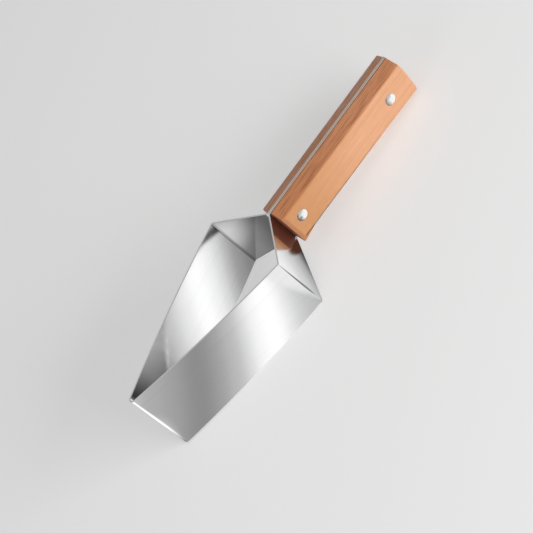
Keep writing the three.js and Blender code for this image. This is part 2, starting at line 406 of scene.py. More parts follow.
def single_point(place):
    """A new piece of one vertex, open for editing."""
    clear_selection()
    bpy.ops.mesh.primitive_plane_add(size=MM, location=MIDDLE)
    edit(bpy.context.object)
    select_whole()
    bpy.ops.mesh.merge(type="CENTER")
    select_whole("VERT")
    bpy.ops.transform.translate(value=place)


def butt_profile(handle, side_y):
    """A new piece holding the butt's arc, from its top to its bottom, at one distance aside."""
    centre_x = handle.end - handle.butt_radius
    centre_z = handle.top - handle.butt_drop
    low = handle.bottom - handle.deepening
    start = math.asin((handle.top - centre_z) / handle.butt_radius)
    stop = math.asin((low - centre_z) / handle.butt_radius)
    top_x = centre_x + handle.butt_radius * math.cos(start)
    single_point((top_x, side_y, handle.top))
    centre = (centre_x, side_y, centre_z)
    turn_about(centre, OUTWARD, start - stop, handle.butt_steps)
    select_whole("EDGE")


def straighten_at(x):
    """Lines the selection up at one place along the tool."""
    bpy.ops.transform.resize(value=(0.0, 1.0, 1.0), center_override=(x, 0.0, 0.0))


def rod(radius, start_y, end_y, x, z, sides):
    """A round cutter across the tool."""
    clear_selection()
    bpy.ops.mesh.primitive_cylinder_add(
        vertices=sides,
        radius=radius,
        depth=abs(end_y - start_y),
        location=(x, (start_y + end_y) / 2, z),
        rotation=(math.pi / 2, 0.0, 0.0),
    )
    cutter = bpy.context.object
    fix_place()
    return cutter


def rivet_places(rivets):
    """Places of the rivets along and up the tool."""
    return [(rivets.front_x, rivets.front_z), (rivets.butt_x, rivets.butt_z)]


# ---- Blade -------------------------------------------------------------------------------------

def heading(direction):
    """Angle of a flat direction."""
    return math.atan2(direction[1], direction[0])


def blade_plan(blade):
    """Bends and straight of half the blade, seen from above, from the neck to the tip."""
    layer = (blade.slit + blade.thickness) / 2
    neck = Vector((0.0, layer))
    shoulder = Vector((blade.shoulder_x, blade.half_width))
    nose = Vector((blade.tip_x + blade.nose_radius + blade.thickness / 2, 0.0))
    to_shoulder = shoulder - nose
    gap = to_shoulder.length
    inner = blade.sweep_radius - blade.nose_radius
    along = (gap ** 2 + inner ** 2 - blade.sweep_radius ** 2) / (2 * gap)
    aside = math.sqrt(inner ** 2 - along ** 2)
    unit = to_shoulder / gap
    sweep = nose + unit * along + Vector((unit.y, -unit.x)) * aside
    back = heading(shoulder - neck)
    at_shoulder = heading(shoulder - sweep)
    at_nose = heading(nose - sweep)
    neck_turn = back - math.pi
    neck_reach = blade.neck_radius * math.tan(abs(neck_turn) / 2)
    shoulder_turn = at_shoulder + math.pi / 2 - back
    reach = blade.shoulder_radius * math.tan(shoulder_turn / 2)
    back_unit = Vector((math.cos(back), math.sin(back)))
    fold_start = shoulder - back_unit * reach
    fold_centre = fold_start + Vector((-back_unit.y, back_unit.x)) * blade.shoulder_radius
    run = fold_start - neck - back_unit * neck_reach
    sweep_start = at_shoulder + reach / blade.sweep_radius
    return {
        "layer": layer,
        "neck_start": neck_reach,
        "neck": ((neck_reach, layer + blade.neck_radius), neck_turn),
        "run": run,
        "shoulder": (tuple(fold_centre), shoulder_turn),
        "side": (tuple(sweep), at_nose - sweep_start),
        "nose": (tuple(nose), math.pi - at_nose),
    }


def rim_heights(x, blade, handle):
    """Heights of the upper and the lower rim at one place along the tool."""
    if x < blade.shoulder_x:
        part = (x - blade.tip_x) / (blade.shoulder_x - blade.tip_x)
        high = blade.tip_top * (1 - part)
        low = blade.tip_bottom + (blade.shoulder_bottom - blade.tip_bottom) * part
        return high, low
    if x < 0.0:
        part = x / blade.shoulder_x
        high = handle.top * (1 - part)
        low = handle.bottom + (blade.shoulder_bottom - handle.bottom) * part
        return high, low
    return handle.top, handle.bottom - handle.deepening * x / handle.end


def fit_columns(blade, handle):
    """Stretches each upright row of vertices between the two rims."""
    butt_low = handle.bottom - handle.deepening
    shape = bmesh.from_edit_mesh(bpy.context.object.data)
    before_butt = 100 * MM
    places = {(round(v.co.x, 7), round(v.co.y, 7)) for v in shape.verts if v.co.x < before_butt}
    for x, y in sorted(places):
        high, low = rim_heights(x, blade, handle)
        stretch = (high - low) / (handle.top - butt_low)
        pick("VERT", lambda v: abs(v.co.x - x) < SAME_ROW and abs(v.co.y - y) < SAME_ROW)
        bpy.ops.transform.resize(value=(1.0, 1.0, stretch), center_override=(0.0, 0.0, handle.top))
        bpy.ops.transform.translate(value=(0.0, 0.0, high - handle.top))


def model_blade(tool):
    """The strip: the butt's arc is drawn out along the tang, then bent and swept to the tip."""
    blade, handle, rivets = tool.blade, tool.handle, tool.rivets
    plan = blade_plan(blade)

    def bend(part, steps):
        centre, turn = plan[part]
        turn_about((*centre, 0.0), UP, turn, steps)

    butt_profile(handle, plan["layer"])
    push((plan["neck_start"] - handle.end, 0.0, 0.0))
    straighten_at(plan["neck_start"])
    bend("neck", blade.fold_steps)
    push((*plan["run"], 0.0))
    bend("shoulder", blade.fold_steps)
    bend("side", blade.sweep_steps)
    bend("nose", blade.fold_steps)
    fit_columns(blade, handle)
    piece = close()
    across = (False, True, False)
    apply_modifier(piece, "MIRROR", use_axis=across, use_clip=True, merge_threshold=SAME_POINT)
    edit(piece)
    tidy_normals()
    piece = close()
    apply_modifier(
        piece, "SOLIDIFY", thickness=blade.thickness, offset=0.0, use_even_offset=True
    )
    width = 4 * handle.half_width
    cutters = [
        rod(rivets.hole_radius, -width, width, x, z, rivets.sides)
        for x, z in rivet_places(rivets)
    ]
    cut_with(piece, cutters)
    lay_down(piece)
    round_arrises(piece, blade.rim_round, 50)
    soften(piece, 40)
    return piece


# ---- Handle ------------------------------------------------------------------------------------

def sunk(handle, x, z):
    """Height of a lower line of the handle, which sinks towards the butt."""
    return z - handle.deepening * x / handle.end


def underside_cutter(handle):
    """What the lower bevel takes off a scale: a block under the bevel that runs out at the neck."""
    inner, outer = handle.inner, handle.half_width
    near, far = -OVERLAP, handle.end + OVERLAP
    block = (200 * MM, 30 * MM, 30 * MM)
    block_centre = (60 * MM, (inner + outer) / 2, handle.bottom - 7 * MM)
    clear_selection()
    bpy.ops.mesh.primitive_cube_add(size=1.0, location=MIDDLE)
    edit(bpy.context.object)
    select_whole()
    bpy.ops.transform.resize(value=block, center_override=MIDDLE)
    bpy.ops.transform.translate(value=block_centre)
    keel_z = handle.bottom + handle.edge_drop
    ridge_z = handle.bottom + handle.bevel_depth
    corner = (near, inner, sunk(handle, near, keel_z))
    ridge = (near, outer, sunk(handle, near, ridge_z))
    corner_far = (far, inner, sunk(handle, far, keel_z))
    slice_through((corner, corner_far, ridge), UP)
    start = (handle.runout_start, 0.0, handle.bottom)
    stop = (handle.runout_end, 0.0, ridge_z)
    aside = (handle.runout_start, 1.0, handle.bottom)
    slice_through((start, stop, aside), UP)
    tidy_normals()
    return close()


def round_scale_edges(piece, handle):
    """Weighs each edge of a scale by how far it is rounded, and rounds them all at once."""
    ridge_z = handle.top - handle.bevel_depth
    outer, inner = handle.half_width, handle.inner
    sharp = math.radians(12)

    def at_butt(edge):
        faces = [face.normal.x > 0.9 for face in edge.link_faces]
        return any(faces) and not all(faces)

    def at_front(edge):
        return any(face.normal.x < -0.4 for face in edge.link_faces)

    def on_inner(edge):
        return all(abs(v.co.y - inner) < 0.01 * MM for v in edge.verts)

    def on_ridge(edge):
        outside = all(abs(v.co.y - outer) < 0.01 * MM for v in edge.verts)
        return outside and all(abs(v.co.z - ridge_z) < 0.05 * MM for v in edge.verts)

    edit(piece)
    groups = [
        (0.24, on_inner),
        (0.30, lambda e: at_front(e) and not on_inner(e)),
        (0.60, lambda e: at_butt(e) and not on_inner(e)),
        (1.00, lambda e: on_ridge(e) and not at_front(e) and not at_butt(e)),
        (0.45, lambda e: not (on_inner(e) or at_front(e) or at_butt(e) or on_ridge(e))),
    ]
    for weight, test in groups:
        if pick("EDGE", lambda e: e.calc_face_angle(0.0) > sharp and test(e)):
            bpy.ops.transform.edge_bevelweight(value=weight)
    piece = close()
    apply_modifier(
        piece,
        "BEVEL",
        width=handle.rounding,
        segments=5,
        limit_method="WEIGHT",
        use_clamp_overlap=False,
        loop_slide=True,
    )


def model_scale(tool):
    """The left-hand scale, in the tool's own frame, without its rivet seats."""
    handle = tool.handle
    inner, outer = handle.inner, handle.half_width
    butt_profile(handle, inner)
    push((handle.front - handle.end, 0.0, 0.0))
    straighten_at(handle.front)
    select_whole()
    push((0.0, outer - inner, 0.0))
    tidy_normals()
    high = handle.top - handle.edge_drop
    ridge = handle.top - handle.bevel_depth
    far = handle.end
    keel = handle.bottom + handle.edge_drop
    keel_far = sunk(handle, far, keel)
    low_ridge = handle.bottom + handle.bevel_depth
    low_ridge_far = sunk(handle, far, low_ridge)
    inset = outer - handle.keel_inset
    slice_through(((0.0, inner, high), (far, inner, high), (0.0, outer, ridge)), UP)
    slice_through(((0.0, inner, keel), (far, inner, keel_far), (0.0, outer, keel)), DOWN)
    slice_through(
        ((0.0, outer, low_ridge), (far, outer, low_ridge_far), (0.0, inset, keel)), OUTWARD
    )
    front = Vector((-handle.chamfer_depth, handle.chamfer_length, 0.0))
    slice_off((handle.front, outer - handle.chamfer_depth, 0.0), front.normalized())
    tidy_normals()
    piece = close()
    cut_with(piece, [underside_cutter(handle)])
    round_scale_edges(piece, handle)
    return piece


def seat_scale(piece, tool, side):
    """Drills a scale for the rivets and sinks the seats for their heads."""
    handle, rivets = tool.handle, tool.rivets
    floor_y = handle.half_width - rivets.seat_depth
    clear_y = side * 40 * MM
    cutters = []
    for x, z in rivet_places(rivets):
        cutters.append(rod(rivets.hole_radius, 0.0, clear_y, x, z, rivets.sides))
        cutters.append(rod(rivets.seat_radius, side * floor_y, clear_y, x, z, rivets.sides))
    cut_with(piece, cutters)


def mirrored_copy(piece):
    """A second scale for the other side, with its own mesh."""
    edit(copy_of(piece))
    select_whole()
    bpy.ops.transform.mirror(constraint_axis=(False, True, False), center_override=MIDDLE)
    tidy_normals()
    return close()


# ---- Rivets ------------------------------------------------------------------------------------

def domed_head(rivets):
    """A head turned on the z axis, its underside at z = 0, open for editing."""
    clear_selection()
    bpy.ops.mesh.primitive_cylinder_add(
        vertices=rivets.sides,
        radius=rivets.head_radius,
        depth=rivets.head_edge,
        location=(0.0, 0.0, rivets.head_edge / 2),
    )
    fix_place()
    edit(bpy.context.object)
    rise = rivets.head_top - rivets.head_seat - rivets.head_edge
    sphere = (rivets.head_radius ** 2 + rise ** 2) / (2 * rise)
    start = math.asin(rivets.head_radius / sphere)
    pick("FACE", lambda f: f.normal.z > 0.9)
    radius = rivets.head_radius
    height = 0.0
    for step in range(1, rivets.dome_steps):
        lean = start * (1 - step / rivets.dome_steps)
        next_height = sphere * math.cos(lean) - sphere * math.cos(start)
        push((0.0, 0.0, next_height - height))
        next_radius = sphere * math.sin(lean)
        scale = next_radius / radius
        bpy.ops.transform.resize(value=(scale, scale, 1.0), center_override=MIDDLE)
        radius, height = next_radius, next_height
    push((0.0, 0.0, rise - height))
    bpy.ops.mesh.merge(type="CENTER")


def draw_out(radius_before, radius, depth):
    """Insets the selected round face to a radius and draws it out along z."""
    scale = radius / radius_before
    push(MIDDLE)
    bpy.ops.transform.resize(value=(scale, scale, 1.0), center_override=MIDDLE)
    push((0.0, 0.0, depth))


def model_socket(rivets):
    """A headed tube."""
    domed_head(rivets)
    reach = rivets.head_seat * 2 - rivets.socket_stop
    pick("FACE", lambda f: f.normal.z < -0.9)
    draw_out(rivets.head_radius, rivets.socket_radius, -reach)
    draw_out(rivets.socket_radius, rivets.bore_radius, reach)
    tidy_normals()
    piece = close()
    round_arrises(piece, rivets.arris, 40)
    return piece


def model_post(rivets):
    """A headed pin."""
    domed_head(rivets)
    reach = rivets.head_seat * 2 - rivets.post_stop
    pick("FACE", lambda f: f.normal.z < -0.9)
    draw_out(rivets.head_radius, rivets.post_radius, -reach)
    tidy_normals()
    piece = close()
    round_arrises(piece, rivets.arris, 40)
    return piece


def place_rivet(pattern, rivets, x, z, side):
    """A copy of a rivet half, driven in from one side of the handle."""
    copy = copy_of(pattern)
    copy.rotation_euler = (-side * math.pi / 2, 0.0, 0.0)
    copy.location = (x, side * rivets.head_seat, z)
    fix_place()
    lay_down(copy)
    soften(copy, 40)
    return copy


# ---- Materials ---------------------------------------------------------------------------------

# Where nodes stand in the node editor
FIRST_COLUMN = -2200
COLUMN_STEP = 240
ROW_STEP = 300
NODES_IN_COLUMN = 6
GROUP_END = (300, 300)


def new_group(name, output, **inputs):
    """A node group with a vector, other named inputs and one output, and its two ends."""
    tree = bpy.data.node_groups.new(name, "ShaderNodeTree")
    tree.interface.new_socket(name="Vector", in_out="INPUT", socket_type="NodeSocketVector")
    for label, value in inputs.items():
        kind = "NodeSocketVector" if isinstance(value, tuple) else "NodeSocketFloat"
        socket = tree.interface.new_socket(name=label, in_out="INPUT", socket_type=kind)
        socket.default_value = value
    tree.interface.new_socket(name=output, in_out="OUTPUT", socket_type="NodeSocketFloat")
    start = add(tree, "NodeGroupInput")
    end = add(tree, "NodeGroupOutput")
    end.location = GROUP_END
    return tree, start.outputs, end.inputs[output]


def add(tree, kind, **values):
    """A node with its settings. Nodes stand in columns, in the order they are made."""
    column, row = divmod(len(tree.nodes), NODES_IN_COLUMN)
    node = tree.nodes.new(kind)
    node.location = (FIRST_COLUMN + column * COLUMN_STEP, -row * ROW_STEP)
    for key, value in values.items():
        setattr(node, key, value)
    return node


def give(tree, socket, value):
    """Links another socket to this one, or sets its value."""
    if isinstance(value, bpy.types.NodeSocket):
        tree.links.new(value, socket)
    else:
        socket.default_value = value


def maths(tree, operation, *values, clamp=False):
    """One arithmetic step on sockets or numbers."""
    node = add(tree, "ShaderNodeMath", operation=operation, use_clamp=clamp)
    for socket, value in zip(node.inputs, values):
        give(tree, socket, value)
    return node.outputs[0]


def vector_maths(tree, operation, *values):
    """One step on vectors, which gives a vector or, for some operations, a number."""
    node = add(tree, "ShaderNodeVectorMath", operation=operation)
    for socket, value in zip(node.inputs, values):
        give(tree, socket, value)
    plain = operation in {"DOT_PRODUCT", "DISTANCE", "LENGTH"}
    return node.outputs["Value" if plain else "Vector"]


def axes(tree, vector):
    """A vector's x, y and z."""
    node = add(tree, "ShaderNodeSeparateXYZ")
    give(tree, node.inputs[0], vector)
    return tuple(node.outputs)


def spread(tree, value, start, stop, low=0.0, high=1.0, smooth=True):
    """Turns a value between start and stop into one between low and high."""
    kind = "SMOOTHSTEP" if smooth else "LINEAR"
    node = add(tree, "ShaderNodeMapRange", interpolation_type=kind)
    names = ("Value", "From Min", "From Max", "To Min", "To Max")
    for name, given in zip(names, (value, start, stop, low, high)):
        give(tree, node.inputs[name], given)
    return node.outputs["Result"]


def mix(tree, factor, low, high):
    """Mixes two colours, each a socket or a colour of its own."""
    node = add(tree, "ShaderNodeMix", data_type="RGBA")
    sockets = [socket for socket in node.inputs if socket.type == "RGBA"]
    for socket, value in zip(sockets, (low, high)):
        linked = isinstance(value, bpy.types.NodeSocket)
        give(tree, socket, value if linked else (*value, 1.0))
    give(tree, node.inputs["Factor"], factor)
    return [socket for socket in node.outputs if socket.type == "RGBA"][0]


def cloud(tree, vector, scale, detail, roughness=0.5):
    """Noise of a size and detail."""
    node = add(tree, "ShaderNodeTexNoise")
    names = ("Vector", "Scale", "Detail", "Roughness")
    for name, given in zip(names, (vector, scale, detail, roughness)):
        give(tree, node.inputs[name], given)
    return node.outputs["Fac"]


def drawn_lines_group():
    """Long fine lines: noise stretched along one direction."""
    tree, start, end = new_group(
        "Drawn Lines", "Lines", Stretch=(1.0, 1.0, 1.0), Low=0.4, High=0.6, Detail=4.0
    )
    stretched = vector_maths(tree, "MULTIPLY", start["Vector"], start["Stretch"])
    noise = cloud(tree, stretched, 1.0, start["Detail"], roughness=0.6)
    give(tree, end, spread(tree, noise, start["Low"], start["High"]))
    return tree


def handling_group():
    """Soft blotches left by handling: wide clouds broken by smaller ones."""
    tree, start, end = new_group("Handling Marks", "Marks", Size=60.0, Amount=1.0)
    wide = cloud(tree, start["Vector"], start["Size"], 3.0)
    finer = maths(tree, "MULTIPLY", start["Size"], 5.3)
    small = cloud(tree, start["Vector"], finer, 5.0)
    both = maths(tree, "MULTIPLY", wide, small)
    marks = spread(tree, both, 0.16, 0.36)
    give(tree, end, maths(tree, "MULTIPLY", marks, start["Amount"]))
    return tree


def edge_wear_group():
    """Rubbed arrises: where the rounded normal leans away from the true one."""
    tree, start, end = new_group("Rubbed Edges", "Wear", Width=0.6 * MM, Patches=400.0)
    rounded = add(tree, "ShaderNodeBevel", samples=4)
    give(tree, rounded.inputs["Radius"], start["Width"])
    true = add(tree, "ShaderNodeNewGeometry").outputs["True Normal"]
    agree = vector_maths(tree, "DOT_PRODUCT", rounded.outputs["Normal"], true)
    arris = spread(tree, agree, 0.995, 0.86, smooth=False)
    noise = cloud(tree, start["Vector"], start["Patches"], 4.0)
    patches = spread(tree, noise, 0.35, 0.6, smooth=False)
    give(tree, end, maths(tree, "MULTIPLY", arris, patches))
    return tree


GROUP_MAKERS = {
    "Drawn Lines": drawn_lines_group,
    "Handling Marks": handling_group,
    "Rubbed Edges": edge_wear_group,
}


def place_group(tree, name, vector, **values):
    """Puts a shared group, made once, into a material with its own values."""
    node = add(tree, "ShaderNodeGroup")
    node.node_tree = bpy.data.node_groups.get(name) or GROUP_MAKERS[name]()
    give(tree, node.inputs["Vector"], vector)
    for key, value in values.items():
        give(tree, node.inputs[key], value)
    return node.outputs[0]


def drawn_lines(tree, vector, stretch, low, high, detail):
    """Drawn Lines with its own values."""
    values = {"Stretch": stretch, "Low": low, "High": high, "Detail": detail}
    return place_group(tree, "Drawn Lines", vector, **values)


def emboss(tree, shader, height, strength, distance):
    """Raises fine relief on a shader's surface."""
    node = add(tree, "ShaderNodeBump")
    node.inputs["Strength"].default_value = strength
    node.inputs["Distance"].default_value = distance
    give(tree, node.inputs["Height"], height)
    give(tree, shader.inputs["Normal"], node.outputs["Normal"])


def new_material(name):
    """A material and its node tree."""
    material = bpy.data.materials.new(name)
    material.use_nodes = True
    return material, material.node_tree


def fresh_material(name):
    """A material with its node tree, shader, and object coordinates turned to the tool."""
    material, tree = new_material(name)
    shader = tree.nodes["Principled BSDF"]
    rest = settings().rest
    turned = add(tree, "ShaderNodeMapping", vector_type="TEXTURE")
    turned.inputs["Location"].default_value = (rest.shift_x, 0.0, rest.shift_z)
    turned.inputs["Rotation"].default_value = (0.0, rest.pitch, 0.0)
    give(tree, turned.inputs["Vector"], coordinates(tree, "Object"))
    return material, tree, shader, turned.outputs["Vector"]


def coordinates(tree, kind):
    """A piece's own coordinates or normals."""
    return add(tree, "ShaderNodeTexCoord").outputs[kind]


def steel_tone(tree, vector, wear, cut_edge, lean_y):
    """Colour of the strip: haze, painted shade on the inner faces near both ends and along the shoulder
    fold, rims of their own tone with a painted reflection of the wood along the tang, and darker
    arrises.
    """
    finish = settings().finishes_and_painted_light
    fold_x = settings().blade.shoulder_x - 0.7 * MM
    haze = drawn_lines(tree, vector, (9.0, 9.0, 700.0), 0.42, 0.70, 5.0)
    streaks = maths(tree, "MULTIPLY", haze, 0.14)
    tone = mix(tree, streaks, finish.steel, finish.steel_dull)
    x, y, _ = axes(tree, vector)
    inward = maths(tree, "MULTIPLY", lean_y, y)
    inside = spread(tree, inward, -0.3 * MM, -1.0 * MM, smooth=False)
    # Painted shade on the inner faces, darker toward the tip
    toward_tip = spread(tree, x, -108 * MM, -141 * MM, smooth=False)
    short_of_tip = spread(tree, x, -145 * MM, -143 * MM, smooth=False)
    # Painted shade on the inner faces, darker toward the neck
    toward_neck = spread(tree, x, -24 * MM, -3 * MM)
    short_of_neck = spread(tree, x, 0.5 * MM, -0.5 * MM, smooth=False)
    # Painted shade: a dark line on the inner face along the shoulder fold's crease
    off_fold = maths(tree, "SUBTRACT", x, fold_x)
    off_line = maths(tree, "ABSOLUTE", off_fold)
    fold_shade_line = spread(tree, off_line, 1.1 * MM, 0.2 * MM, high=0.75)
    tip = maths(tree, "MULTIPLY", toward_tip, short_of_tip)
    neck = maths(tree, "MULTIPLY", toward_neck, short_of_neck)
    shaded = ((tip, finish.steel_tip_shade), (neck, finish.steel_neck_shade), (fold_shade_line, finish.steel_dark_arris_and_fold_shade))
    for mask, darker in shaded:
        only_inside = maths(tree, "MULTIPLY", mask, inside)
        tone = mix(tree, only_inside, tone, darker)
    # Painted reflection of the wood: a warm tint on the rims along the tang
    beside_wood = spread(tree, x, 0.0, 9 * MM, smooth=False)
    rim = mix(tree, beside_wood, finish.steel_rim, finish.steel_tang_wood_reflection)
    tone = mix(tree, cut_edge, tone, rim)
    # Darker along the arrises
    outlined = maths(tree, "MULTIPLY", wear, 0.7)
    return mix(tree, outlined, tone, finish.steel_dark_arris_and_fold_shade)


def polished_steel():
    """Cold-rolled strip, polished: faint rolling lines along it, light haze and handling marks."""
    material, tree, shader, vector = fresh_material("Polished Steel")
    lines = drawn_lines(tree, vector, (14.0, 14.0, 5200.0), 0.35, 0.72, 3.0)
    marks = place_group(tree, "Handling Marks", vector, Size=38.0)
    wear = place_group(tree, "Rubbed Edges", vector, Width=0.35 * MM)
    _, lean_y, lean_z = axes(tree, coordinates(tree, "Normal"))
    cut_edge = spread(tree, lean_z, 0.30, 0.75)
    dull = maths(tree, "MULTIPLY_ADD", lines, 0.020, 0.080)
    grime = maths(tree, "MULTIPLY_ADD", marks, 0.05, dull)
    rubbed = maths(tree, "MULTIPLY_ADD", wear, 0.03, grime)
    satin = spread(tree, cut_edge, 0.0, 1.0, rubbed, 0.42, smooth=False)
    give(tree, shader.inputs["Base Color"], steel_tone(tree, vector, wear, cut_edge, lean_y))
    give(tree, shader.inputs["Roughness"], satin)
    emboss(tree, shader, lines, 0.03, 0.01 * MM)
    shader.inputs["Metallic"].default_value = 1.0
    return material


def rivet_steel():
    """Bright rivet heads, lightly marked, with painted shade on the side toward the neck."""
    finish = settings().finishes_and_painted_light
    material, tree, shader, vector = fresh_material("Rivet Steel")
    marks = place_group(tree, "Handling Marks", vector, Size=220.0, Amount=0.35)
    lines = drawn_lines(tree, vector, (900.0, 900.0, 3600.0), 0.55, 0.75, 2.0)
    wear = place_group(tree, "Rubbed Edges", vector, Width=0.3 * MM)
    lean_x, _, _ = axes(tree, coordinates(tree, "Normal"))
    # Painted shade on the side of each head that faces the neck
    shaded_side = spread(tree, lean_x, -0.02, -0.55, high=0.85)
    tone = mix(tree, marks, finish.rivet, finish.rivet_dull)
    # The heads' colour with the painted shade laid on the side toward the neck
    seat = mix(tree, shaded_side, tone, finish.rivet_shaded_side)
    rough = maths(tree, "MULTIPLY_ADD", marks, 0.08, 0.20)
    rubbed = maths(tree, "MULTIPLY_ADD", wear, 0.08, rough)
    give(tree, shader.inputs["Base Color"], seat)
    give(tree, shader.inputs["Roughness"], rubbed)
    emboss(tree, shader, lines, 0.03, 0.01 * MM)
    shader.inputs["Metallic"].default_value = 1.0
    return material


def oiled_beech():
    """Beech with its grain along the handle: growth lines, flecks, pores and a thin oil film."""
    tool = settings()
    finish = tool.finishes_and_painted_light
    front = tool.handle.front
    ridge = tool.handle.top - tool.handle.bevel_depth
    material, tree, shader, vector = fresh_material("Oiled Beech")
    growth = drawn_lines(tree, vector, (9.0, 260.0, 260.0), 0.34, 0.66, 3.0)
    streaks = drawn_lines(tree, vector, (60.0, 1300.0, 600.0), 0.44, 0.66, 4.0)
    flecks = drawn_lines(tree, vector, (170.0, 1700.0, 1700.0), 0.56, 0.72, 2.0)
    pores = drawn_lines(tree, vector, (420.0, 5200.0, 5200.0), 0.48, 0.72, 3.0)
    marks = place_group(tree, "Handling Marks", vector, Size=26.0)
    wear = place_group(tree, "Rubbed Edges", vector, Width=1.2 * MM)
    x, _, z = axes(tree, vector)
    on_top = spread(tree, z, ridge - 0.6 * MM, ridge + 0.5 * MM)
    grain = spread(tree, on_top, 0.0, 1.0, 0.05, 0.55, smooth=False)
    streak = maths(tree, "MULTIPLY", streaks, grain)
    fleck = maths(tree, "MULTIPLY_ADD", flecks, 0.09, streak)
    pore = maths(tree, "MULTIPLY_ADD", pores, 0.06, fleck, clamp=True)
    tone = mix(tree, growth, finish.beech, finish.beech_deep)
    layers = (
        (maths(tree, "MULTIPLY", marks, 0.40), finish.beech_deep),
        # Near the neck: a yellower tint, made darker as painted shade
        (spread(tree, x, 85 * MM, 10 * MM, high=0.95), finish.beech_neck_tint_and_shade),
        (maths(tree, "MULTIPLY", on_top, 0.75), finish.beech_top),
        (pore, finish.beech_fleck),
        (maths(tree, "MULTIPLY", wear, 0.30), finish.beech),
        (spread(tree, x, front + 3.4 * MM, front + 2.0 * MM, high=0.45), finish.beech_top),
        # The front end grain: darker for the oil it drinks, and darker still as painted shade
        (spread(tree, x, front + 0.5 * MM, front + 0.1 * MM), finish.beech_end_grain_and_shade),
    )
    for mask, laid_over in layers:
        tone = mix(tree, mask, tone, laid_over)
    give(tree, shader.inputs["Base Color"], tone)
    rough = maths(tree, "MULTIPLY_ADD", marks, 0.12, 0.45)
    give(tree, shader.inputs["Roughness"], rough)
    emboss(tree, shader, pore, 0.4, 0.06 * MM)
    shader.inputs["Coat Roughness"].default_value = 0.35
    shader.inputs["Coat Weight"].default_value = 0.06
    shader.inputs["Specular IOR Level"].default_value = 0.35
    return material


# ---- Stage -------------------------------------------------------------------------------------

# Bands of the bounce card under the blade: a place in millimetres and a grey
OUTSIDE_BANDS = (
    (-400, 0.98), (-215, 0.92), (-196, 0.60), (-179, 0.43), (-160, 0.370), (-142, 0.310),
    (-126, 0.255), (-112, 0.300), (-99, 0.405), (-85, 0.555), (-74, 0.790), (-64, 0.930),
    (-52, 0.960), (-44, 0.830), (-36, 0.670), (-26, 0.530), (-10, 0.470), (4, 0.560),
    (14, 0.640), (24, 0.760), (60, 0.80),
)
INSIDE_BANDS = (
    (-90, 0.05), (-50, 0.15), (-40, 0.27), (-33, 0.360), (-27, 0.490), (-18, 0.660), (-6, 0.860),
    (2, 0.960), (10, 0.890), (17, 0.760), (24, 0.570), (31, 0.365), (41, 0.235), (70, 0.12),
)
SHOULDER_BANDS = (
    (-10, 0.04), (0, 0.05), (1, 0.08), (4, 0.34), (6, 0.43), (8, 0.53), (10, 0.58), (13, 0.71),
    (18, 0.78), (60, 0.80),
)
# Directions of the card's bands, the blade's footprint on the card, its darker patches, and a brown
# patch painted as the reflection of the handle's end
INSIDE_ACROSS = (0.52, 0.85, 0.0)
INSIDE_START = (-42 * MM, -2 * MM)
FOOT_TIP_X = -138 * MM
FOOT_SLOPE = 38 / 124
SHOULDER_FOOT = (-14.5 * MM, -38.3 * MM, 0.0)
SHOULDER_NORMAL = (0.843, -0.5375, 0.0)
SHOULDER_SLANT = 0.25
TIP_GLINT = (-186 * MM, 0.0, 0.0)
FOLD_PATCH = (2 * MM, -63 * MM, 0.0)
FOLD_SHAPE = (1.6, 0.88, 0.0)
FOLD_GREY = (0.20, 0.20, 0.20)
HANDLE_PATCH = (20 * MM, 0.0, 0.0)
HANDLE_END_REFLECTION = (0.065, 0.022, 0.012)
WHITE = (1.0, 1.0, 1.0)
CARD_SIZE = 800 * MM
CARD_LIFT = 0.02 * MM
# Each light's name, place, target, width, height and power setting
LIGHTS = (
    ("key_light", (0.75, -1.5, 0.46), (0.06, 0.0, 0.03), 1.4, 0.6, "key_power"),
    ("tip_light", (-1.5, -0.5, 0.9), (0.0, 0.0, 0.03), 0.8, 1.1, "tip_power"),
    ("top_light", (0.2, -0.6, 1.8), (0.0, 0.0, 0.03), 1.2, 1.2, "top_power"),
)


def floor_material():
    """Matt pale paper that glows a little by itself in view."""
    stage = settings().stage
    material, tree = new_material("Pale Floor")
    shader = tree.nodes["Principled BSDF"]
    shader.inputs["Base Color"].default_value = (*settings().finishes_and_painted_light.floor, 1.0)
    shader.inputs["Roughness"].default_value = 0.9
    shader.inputs["Specular IOR Level"].default_value = 0.0
    shader.inputs["Emission Color"].default_value = (*WHITE, 1.0)
    in_view = add(tree, "ShaderNodeLightPath").outputs["Is Camera Ray"]
    lift = maths(tree, "MULTIPLY", in_view, stage.floor_lift)
    give(tree, shader.inputs["Emission Strength"], lift)
    return material


def shades(tree, value, stops):
    """A ramp of greys between distances given in millimetres."""
    first, last = stops[0][0], stops[-1][0]
    along = spread(tree, value, first * MM, last * MM, smooth=False)
    node = add(tree, "ShaderNodeValToRGB")
    node.color_ramp.interpolation = "CARDINAL"
    marks = node.color_ramp.elements
    for mark, (_, grey) in zip((marks[0], marks[1]), (stops[0], stops[-1])):
        mark.color = (grey, grey, grey, 1.0)
    for at, grey in stops[1:-1]:
        marks.new((at - first) / (last - first)).color = (grey, grey, grey, 1.0)
    give(tree, node.inputs["Fac"], along)
    return node.outputs["Color"]


def loop_bands(tree, where):
    """The card's bands inside and outside the loop's footprint."""
    x, y, _ = axes(tree, where)
    outside = shades(tree, x, OUTSIDE_BANDS)
    start = sum(a * b for a, b in zip(INSIDE_ACROSS, INSIDE_START))
    across = vector_maths(tree, "DOT_PRODUCT", where, INSIDE_ACROSS)
    shifted = maths(tree, "SUBTRACT", across, start)
    inside = shades(tree, shifted, INSIDE_BANDS)
    depth = maths(tree, "ABSOLUTE", y)
    wall = maths(tree, "MULTIPLY_ADD", x, FOOT_SLOPE, -FOOT_TIP_X * FOOT_SLOPE)
    gap = maths(tree, "SUBTRACT", wall, depth)
    within = spread(tree, gap, -3.5 * MM, -0.5 * MM)
    return mix(tree, within, outside, inside)


